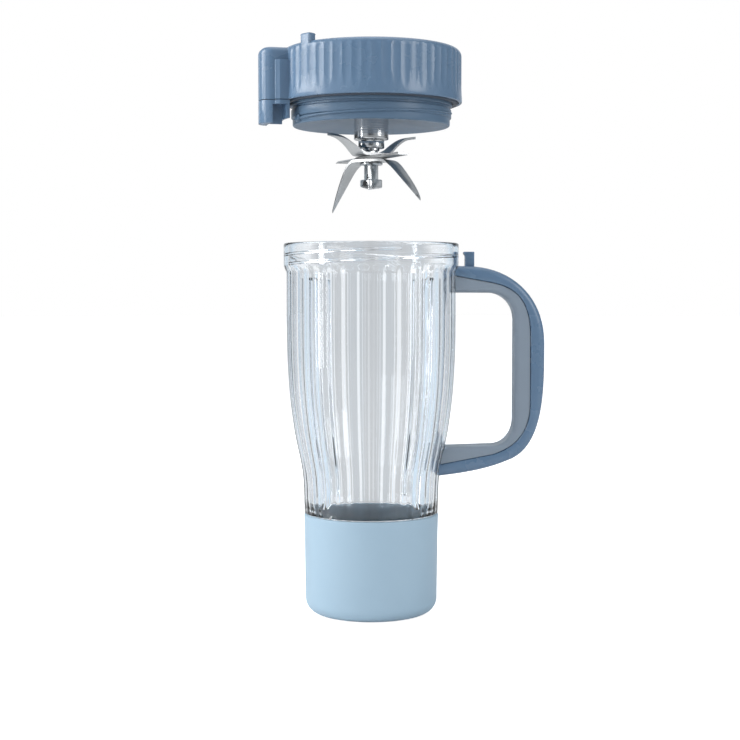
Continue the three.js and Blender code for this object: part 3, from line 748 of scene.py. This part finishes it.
# %% Handle: shell and grip
shell_half, grip_half = 10.5, 9.7
shell = pressed("handle_back", [*seam(SEAM_GAP), *back_line], -shell_half, shell_half, upright=True)
round_edges(shell, 3.4, 7, along_line(back_line))
round_edges(shell, 0.8, 3, along_line(seam(SEAM_GAP)))
grip_outline = [*finger_line, *reversed(seam(-SEAM_GAP))]
grip = pressed("handle_inside", grip_outline, -grip_half, grip_half, upright=True)
round_edges(grip, 3.0, 6, along_line(finger_line))
for bar in (shell, grip):
    split_faces(bar)
    combine(bar, cup_former())
    combine(bar, block("upper_lug_pocket", (43, 53.3), (-5.3, 5.3), (178.1, 183.3)))
    combine(bar, block("lower_lug_pocket", (36, 45.3), (-5.3, 5.3), (84.3, 88.9)))
combine(shell, block("post_pocket", (51, 56.6), (-4.3, 4.3), (186, 196)))
settle(shell, "cup", shell_gloss, "handle_shell", smooth=28)
settle(grip, "cup", grip_satin, "handle_grip", smooth=28)

# %% [markdown]
# ## The interlock post
# A small hooked post on top of the handle. It pushes the plunger in the lid's arm up when the lid is
# locked.

# %% Post
post_side = [(51.3, 186.3), (56.3, 186.3), (56.3, 198.7), (50.4, 198.7), (50.4, 197.6), (51.3, 196.6)]
post = pressed("hook_post", post_side, -4, 4, upright=True)
soften(post, 0.45, 3)
settle(post, "cup", shell_gloss, "interlock_post")

# %% [markdown]
# ## The lid's collar
# The part that the hand turns. Sixty flutes run down it and end in points above a plain flared band. The
# wall is spun with eight columns to a flute, the flutes are pressed, and the side arm and the two docking
# lugs are joined on. The arm's hollow and the hole for the plunger are cut last.

# %% Collar: fluted wall
COLLAR_LOW, COLLAR_HIGH, COLLAR_RADIUS = 279, 308, 49.4
FLUTE_LOW, FLUTE_HIGH = 281.9, 306.2
rows = [281.3, 281.9, 282.6, 283.4, 284.2, 285, 285.9, 286.8, 287.8, 289, 292, 295, 298, 301, 302.4, 303.5]
collar_profile = [
    (47.6, 280), *arc(48.0, 279.4, 0.4, 180, 270, 2), *arc(48.8, 279.6, 0.6, -90, 0, 3),
    *((COLLAR_RADIUS - 0.3 * min(1, max(0, (z - 280.8) / 5)), z) for z in rows),
    *arc(44.85, 303.75, 4.25, 6, 84, 12), (44.9, COLLAR_HIGH), (41.2, COLLAR_HIGH),
    *arc(41.0, 307.2, 0.8, 90, 180, 3), (40.2, 304.2), (47.6, 304.2), (47.6, 280),
]
collar = turned("collar", collar_profile, steps=480)


def collar_strength(height):
    """The flutes run out to points over 7 mm at the bottom, and over 1.2 mm at the top."""
    return min(1, (height - FLUTE_LOW) / 7, (FLUTE_HIGH - height) / 1.2)


press_flutes(collar, count=60, depth=0.0075, land=0.0, strength=collar_strength,
             on_wall=lambda radius, height: radius > 47.9 and FLUTE_LOW < height < FLUTE_HIGH)

# %% Collar: side arm and lugs
ARM_ANGLE, ARM_TOP, LUG_TOP = 195, 306.8, 312
PLUNGER_X, PLUNGER_Y = 53.75, -3.6
near_side = [
    *arc(55.5, 2, 6.5, 0, 82, 8), *arc(55.6, 9.4, 0.95, -98, -180, 4), (53.9, 9.7), (53.3, 10.2),
    (52.7, 10.5),
]
far_side = [(x, -y) for x, y in reversed(near_side)]
seat_plan = [(40, -10.5), *far_side, *near_side, (40, 10.5)]
arm_plan = [(40, -8.5), *arc(55.5, -2, 6.5, -90, 0, 8), *arc(55.5, 2, 6.5, 0, 90, 8), (40, 8.5)]


def core(radius, low, high):
    """A round solid on the axis, to cut with."""
    return turned("core", [(0, low), (radius, low), (radius, high), (0, high)], steps=120)


arm = pressed("arm", arm_plan, COLLAR_LOW, ARM_TOP)
round_edges(arm, 3.6, 8, lambda a, b: min(a.z, b.z) > ARM_TOP - 0.1)
seat = pressed("seat", seat_plan, COLLAR_LOW + 0.01, 300)
round_edges(seat, 0.5, 2, lambda a, b: min(a.z, b.z) > 299.9)
combine(arm, seat, "UNION")
combine(arm, core(48.2, 270, 310))
combine(collar, turn(arm, ARM_ANGLE), "UNION")
for angle in (224, 44):
    lug = block("dock_lug", (43.6, 48.4), (-3.5, 3.5), (300, LUG_TOP))
    round_edges(lug, 1.4, 4, lambda a, b: min(a.z, b.z) > LUG_TOP - 0.1)
    round_edges(lug, 0.8, 3, lambda a, b: abs(a.z - b.z) > 5)
    combine(collar, turn(lug, angle), "UNION")
combine(collar, turn(block("arm_hollow", (50.2, 59.4), (-7.2, 7.2), (278, 302)), ARM_ANGLE))
combine(collar, turn(rod("plunger_hole", PLUNGER_X, PLUNGER_Y, 2.4, 300, 309), ARM_ANGLE))
settle(collar, "lid", shell_gloss, "lid_collar", smooth=26)

# %% [markdown]
# ## The shoe
# A separate moulding that closes the arm from below. The handle's post slides in along a channel behind it,
# and a pocket opens at the front. It shares the arm's outline, so the two meet in a fine seam.

# %% Shoe
def ring_slot(inner, outer, y, z):
    """A slot that follows the collar: a ring cut down to a stretch of its round."""
    low, high = z
    ring = turned("ring", [(inner, low), (outer, low), (outer, high), (inner, high), (inner, low)], steps=96)
    return combine(ring, block("stretch", (45, 65), y, (low - 5, high + 5)), "INTERSECT")


shoe = pressed("arm_shoe", seat_plan, 266.5, 278.7)
soften(shoe, 0.35, 2, 70)
combine(shoe, core(48.6, 260, 285))
combine(shoe, ring_slot(49.9, 57, (-20, 1), (260, 276.5)))
combine(shoe, ring_slot(49.9, 57, (2.5, 20), (260, 276.5)))
combine(shoe, core(50.1, 260, 269))
combine(shoe, block("foot_hole", (51.2, 56.3), (-6.5, -0.7), (275, 280)))
turn(shoe, ARM_ANGLE)
settle(shoe, "lid", shell_gloss, "latch_shoe")

# %% [markdown]
# ## The plug
# The plug goes inside the rim. Its side is a stack of plain bands, its underside is a shallow satin dish
# round the sleeve, and two starts of thread climb its side. Four bosses inside take the cover's screws.

# %% Plug
SCREW_CIRCLE = 28
plug_profile = [
    (9.9, 271.8), (10.3, 271.4), (14, 270.8), (26, 269.0), (37, 267.3), (41, 266.65), (41.6, 266.5),
    (42.0, 266.5), *arc(41.9, 267.4, 0.9, -80, 0, 3),
    (42.8, 269.9), *arc(43.2, 270.3, 0.4, 180, 90, 2), *arc(43.2, 271.1, 0.4, -90, 0, 2), (43.6, 275.0),
    *arc(43.2, 275.0, 0.4, 0, 90, 2), (42.6, 275.7), (42.6, 276.8), (43.7, 277.0), (44, 277.3), (44, 303.6),
    (43.8, 303.8), (41.8, 303.8), (41.2, 269.2), (13, 273.9), (13, 288), (9.9, 288), (9.9, 271.8),
]
plug = turned("plug", plug_profile, steps=144)
for angle in QUARTERS:
    boss = rod("boss", SCREW_CIRCLE, 0, 4, 270.5, 300)
    combine(boss, rod("screw_hole", SCREW_CIRCLE, 0, 1.8, 288, 301, 20))
    combine(plug, turn(boss, angle), "UNION")
PLUG_THREAD = [(0.75, -0.25), (0.75, 0.25), (0.45, 0.55), (-0.9, 0.85), (-0.9, -0.85), (0.45, -0.55)]
for start in THREAD_STARTS:
    thread = wound("thread", PLUG_THREAD, 43.5, 268.9, turns=0.42, rise=4.2, steps=72)
    combine(plug, turn(thread, start), "UNION")
start_lug = block("start_lug", (41, 44.6), (-2.6, 2.6), (267.6, 271.4))
soften(start_lug, 0.8, 3)
combine(plug, turn(start_lug, 206.5), "UNION")
settle(plug, "lid", plug_satin, "lid_plug")

# %% [markdown]
# ## Gasket and top cover
# The gasket is a soft ring with two sealing beads. The cover closes the top of the lid. It has a round
# socket for the motor base, rings round the socket, ribs in it, and four counterbores for the screws.

# %% Gasket
gasket_profile = [
    (44.3, 278.5), *arc(45.2, 278.7, 0.5, 225, 315, 3), *arc(46.6, 278.7, 0.5, 225, 330, 3), (47.3, 279.3),
    (47.3, 279.9), (46.9, 281.0), (46.5, 281.2), (44.6, 281.2), (44.3, 280.9), (44.3, 278.5),
]
gasket = turned("gasket", gasket_profile, steps=120)
settle(gasket, "gasket", seal_soft, "lid_gasket")

# %% Top cover
cover_profile = [
    (12.6, 288.6), (20, 288.6), (20, 300.3), (41.4, 300.3), (41.4, 303.9), (39.9, 303.9), (39.9, 306.4),
    *arc(39.3, 306.4, 0.6, 0, 90, 3), (35.2, 307), (34.9, 306.5), (34.0, 306.5), (33.7, 307), (23.2, 307),
    (22.9, 306.5), (22.1, 306.5), (21.8, 307), (18.8, 307), *arc(18.8, 306.2, 0.8, 90, 180, 3), (18, 291.4),
    *arc(17.2, 291.4, 0.8, 0, -90, 3), (13.2, 290.6), (12.6, 290.2), (12.6, 288.6),
]
cover = turned("top_cover", cover_profile, steps=120)
for angle in QUARTERS:
    combine(cover, turn(rod("shank_hole", SCREW_CIRCLE, 0, 1.8, 299, 308, 20), angle))
    combine(cover, turn(rod("counterbore", SCREW_CIRCLE, 0, 3.2, 303.2, 308, 32), angle))
for k in range(12):
    key = block("socket_rib", (17.1, 18.6), (-0.6, 0.6), (291, 303))
    soften(key, 0.25, 2)
    combine(cover, turn(key, 15 + 30 * k), "UNION")
settle(cover, "lid", shell_gloss, "lid_top_cover")

# %% [markdown]
# ## Cover screws
# A pan-head screw is turned, then a cross is cut in its head. One is made and three are copied.

# %% Screws
screw_profile = [
    (0, 290), (1.0, 290), (1.5, 290.9), (1.5, 303.3), (1.7, 303.5), (2.6, 303.5), (2.8, 303.8), (2.8, 304.4),
    (2.5, 305.0), (1.6, 305.4), (0, 305.5),
]
first_screw = turned("screw_1", screw_profile, steps=32)
for x, y in (((-2.1, 2.1), (-0.4, 0.4)), ((-0.4, 0.4), (-2.1, 2.1))):
    combine(first_screw, block("slot", x, y, (304.5, 306)))
first_screw.location = (SCREW_CIRCLE * mm, 0, 0)
only(first_screw)
bpy.ops.object.transform_apply(location=True, rotation=True, scale=True)
screws = [first_screw]
for number in (2, 3, 4):
    only(first_screw)
    bpy.ops.object.duplicate(linked=False)
    copy = bpy.context.object
    copy.name = copy.data.name = f"screw_{number}"
    screws.append(copy)
for number, (screw, angle) in enumerate(zip(screws, QUARTERS), 1):
    turn(screw, angle)
    settle(screw, "lid", plain_steel, f"cover_screw_{number}")

# %% [markdown]
# ## Steel sleeve and shaft
# The sleeve holds the bearings and shows below the plug as a polished ring. The shaft runs through it: a
# round rod above, a square where the blades sit, and a square head below them, cut off at a slant.

# %% Sleeve
sleeve_profile = [
    (3.6, 259.7), (3.8, 259.5), (8.5, 259.5), *arc(8.9, 260.1, 0.6, -90, 0, 3), (9.5, 262), (9.5, 287.2),
    (9.3, 287.5), (7.6, 287.5), (7.6, 261), (3.6, 261), (3.6, 259.7),
]
sleeve = turned("sleeve", sleeve_profile, steps=96)
settle(sleeve, "lid", turned_steel, "bearing_sleeve")

# %% Shaft
SHAFT_TURN = 34
shaft = rod("shaft", 0, 0, 3, 252.5, 305, 48)
round_edges(shaft, 0.4, 2, lambda a, b: min(a.z, b.z) > 304.9)
square = turn(block("square", (-2.85, 2.85), (-2.85, 2.85), (237, 253.3)), SHAFT_TURN)
soften(square, 0.35, 2)
head = turn(block("shaft_head", (-4.5, 4.5), (-4.5, 4.5), (230.8, 238)), SHAFT_TURN)
only(head)
bpy.ops.object.mode_set(mode="EDIT")
bpy.ops.mesh.select_all(action="SELECT")
bpy.ops.mesh.bisect(plane_co=(0, 0, 233.6 * mm), plane_no=(0, 0.29, -1), use_fill=True, clear_outer=True)
finish_edit()
close_up(head)
soften(head, 0.7, 3)
combine(square, head, "UNION")
combine(shaft, square, "UNION")
settle(shaft, "blade_drive", turned_steel, "spindle")

# %% [markdown]
# ## Blades
# A blade is stamped from sheet, bent, and ground along its edges. Its two edges are drawn as rails and
# bridged into a strip, the strip is extruded to its thickness, and the upper corners along the cutting side
# are pushed down to make the ground bevel. A square hole keys it to the shaft.

# %% Blade rails
THICKNESS, GRIND_DROP = 1.4, 1.15
HUB_HALF, KEY_HALF = 7, 3.15


def key_hole(high):
    """A square solid that cuts the hole for the shaft's square."""
    return turn(block("key_hole", (-KEY_HALF, KEY_HALF), (-KEY_HALF, KEY_HALF), (240, high)), SHAFT_TURN)


def pointed(tip, half, lean, full, steps=16):
    """From hub to tip: (x, curved edge, straight edge) for an arm that tapers to a point."""
    stations = []
    for k in range(steps + 1):
        t = k / steps
        x = HUB_HALF * (1 - t) ** 2 + 2 * full * tip * t * (1 - t) + tip * t * t
        curved = half * (1 - t * t) - lean * t * t
        straight = -half + (half - lean - 0.6) * (x - HUB_HALF) / (tip - HUB_HALF)
        stations.append((x, curved, straight))
    return stations


def blunt(tip, half, end, steps=6):
    """The same for an arm that narrows a little to a blunt end."""
    stations = []
    for k in range(steps + 1):
        t = k / steps
        edge = half + (end - half) * t
        stations.append((HUB_HALF + (tip - HUB_HALF) * t, edge, -edge))
    return stations


def blade(name, stands_for, left, right, rise, low, angle, grind, side=1):
    """A two-armed blade. rise(x) is the height of the strip, grind is where the bevel starts, and side picks
    the cutting edge."""
    half = right[0][1]
    left_arm = [(-x, -straight, -curved) for x, curved, straight in reversed(left)]
    stations = left_arm + [(x, half, -half) for x in (-3.5, 0, 3.5)] + right
    rails = [(x, high, low + rise(x)) for x, high, _ in stations]
    other = draw(name + "_rail", [(x, edge, low + rise(x)) for x, _, edge in stations])
    finish_edit()
    close_up(other)
    piece = draw(name, rails)
    finish_edit()
    close_up(piece)
    only(piece)
    other.select_set(True)
    bpy.ops.object.join()
    bpy.ops.object.mode_set(mode="EDIT")
    bpy.ops.mesh.select_all(action="SELECT")
    bpy.ops.mesh.bridge_edge_loops(number_cuts=3, interpolation="LINEAR")
    bpy.ops.mesh.select_all(action="SELECT")
    bpy.ops.mesh.extrude_region_move(TRANSFORM_OT_translate={"value": (0, 0, THICKNESS * mm)})
    finish_edit()
    close_up(piece)
    edges = {}
    for x, high, edge in stations:
        edges[round(x, 2)] = high if x * side > 0 else edge

    def cutting(c):
        edge = edges.get(round(c.x, 2))
        return edge is not None and abs(c.x) > grind and abs(c.y - edge) < 0.02 and c.z > low + rise(c.x) + 1

    edit(piece, "VERT", cutting)
    bpy.ops.transform.translate(value=(0, 0, -GRIND_DROP * mm))
    finish_edit()
    turn(piece, angle)
    combine(piece, key_hole(262))
    return settle(piece, "blade_drive", ground_steel, stands_for, smooth=24)


# %% Blade shapes
def bend(x, start, slope, soft=4):
    """A flat hub that bends softly to a straight slope."""
    run = abs(x) - start
    if run < -soft:
        return 0
    return slope * run if run > soft else slope * (run + soft) ** 2 / (4 * soft)


wing_line = smooth_line([(0, 0), (6.5, 0), (9, 0.9), (14, 5.4), (20, 9.0), (27.5, 10.4)], 5)
wing = {"half": 6.5, "lean": 3, "full": 0.68}
blade("wing_blade", "blade_up", left=pointed(25.9, **wing), right=pointed(27, **wing),
      rise=lambda x: at(wing_line, abs(x)), low=250.8, angle=33, grind=10)

flat_arm = blunt(34, half=5.5, end=3.4)
blade("flat_blade", "blade_flat", left=flat_arm, right=flat_arm, rise=lambda x: 0, low=249.1, angle=-60,
      grind=9)


def claw_fall(x):
    """The left arm is folded nearer the hub, and steeper, than the right."""
    return bend(x, 11, 1.65) if x < 0 else bend(x, 12.8, 1.10)


claw = {"half": 6.5, "lean": 2.5}
blade("claw_blade", "blade_down", left=pointed(27.2, full=0.6, **claw),
      right=pointed(32.6, full=0.78, **claw), rise=lambda x: -claw_fall(x), low=247.4, angle=-32, grind=13,
      side=-1)

# %% [markdown]
# ## Washer, collar nut and drive coupling
# A washer lies under the blades and a turned collar nut above them. At the top of the shaft is the lobed
# nylon coupling that the motor base turns, held by a hexagon nut.

# %% Washer and collar nut
washer_profile = [(2, 246), (6.0, 245.9), (6.3, 246.15), (6.3, 246.85), (6.0, 247.1), (2, 247.1), (2, 246)]
washer = turned("hub_washer", washer_profile, steps=48)
combine(washer, key_hole(250))
settle(washer, "blade_drive", turned_steel, "blade_washer")

collar_nut_profile = [
    (3.3, 253.6), (4.3, 253.6), (4.5, 253.8), (4.5, 254.9), (6.6, 254.9), *arc(6.65, 255.4, 0.5, -90, 0, 3),
    (7.15, 258.8), (6.9, 259.2), (3.3, 259.2), (3.3, 253.6),
]
collar_nut = turned("collar_nut", collar_nut_profile, steps=72)
settle(collar_nut, "blade_drive", turned_steel, "blade_collar")

# %% Drive coupling and nut
LOBES = 8
lobes = []
for k in range(LOBES * 10):
    angle = 2 * pi * k / (LOBES * 10)
    radius = 9.7 + 1.1 * cos(angle * LOBES)
    lobes.append((radius * cos(angle), radius * sin(angle)))
coupling = pressed("lobed_coupling", lobes, 291.3, 302)
round_edges(coupling, 0.5, 2, lambda a, b: min(a.z, b.z) > 301.9)
combine(coupling, rod("bore", 0, 0, 3.3, 290, 303, 40))
recess = turned("recess", [(0, 300.9), (6.1, 300.9), (6.4, 303), (0, 303)], steps=48)
combine(coupling, recess)
settle(coupling, "blade_drive", drive_nylon, "drive_coupling")

top_nut = rod("top_nut", 0, 0, 5.2, 302.3, 304.8, 6)
dome = turned("dome", [(0, 302), (4.7, 302), (5.2, 302.6), (5.2, 304.2), (4.5, 304.8), (0, 304.8)], steps=48)
combine(top_nut, dome, "INTERSECT")
combine(top_nut, rod("bore", 0, 0, 3.3, 301, 306, 40))
settle(top_nut, "blade_drive", plain_steel, "coupling_nut")

# %% [markdown]
# ## The plunger's spring
# A wire coil round the plunger's stem. It is wound like a thread, and it is the one piece that gets shorter
# when the plunger is pushed up.

# %% Spring
wire_section = [(0.4 * cos(2 * pi * k / 8), 0.4 * sin(2 * pi * k / 8)) for k in range(8)]
spring = wound("coil_spring", wire_section, 2.75, 281.7, turns=5, rise=19.6 / 5, steps=20)
spring.location = (PLUNGER_X * mm, PLUNGER_Y * mm, 0)
only(spring)
bpy.ops.object.transform_apply(location=True, rotation=True, scale=True)
turn(spring, ARM_ANGLE)
settle(spring, "lid", plain_steel, "plunger_spring", smooth=60)
spring_top = Vector((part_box("plunger_spring")[0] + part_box("plunger_spring")[1])) / 2
spring_top.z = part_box("plunger_spring")[1].z
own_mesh(spring)

# %% [markdown]
# ## Inner parts
# The bearings, the shaft seal, the retaining ring, the spacer and the plunger have the right shape already,
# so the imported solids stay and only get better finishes.

# %% Inner parts
INNER = {
    "bearing_lower": turned_steel, "bearing_upper": turned_steel, "shaft_seal": seal_soft,
    "retaining_ring": plain_steel, "coupling_spacer": plain_steel, "interlock_plunger": drive_nylon,
}
for name, material in INNER.items():
    nodes[name].material_slots[0].material = material
print("kept:", ", ".join(INNER))
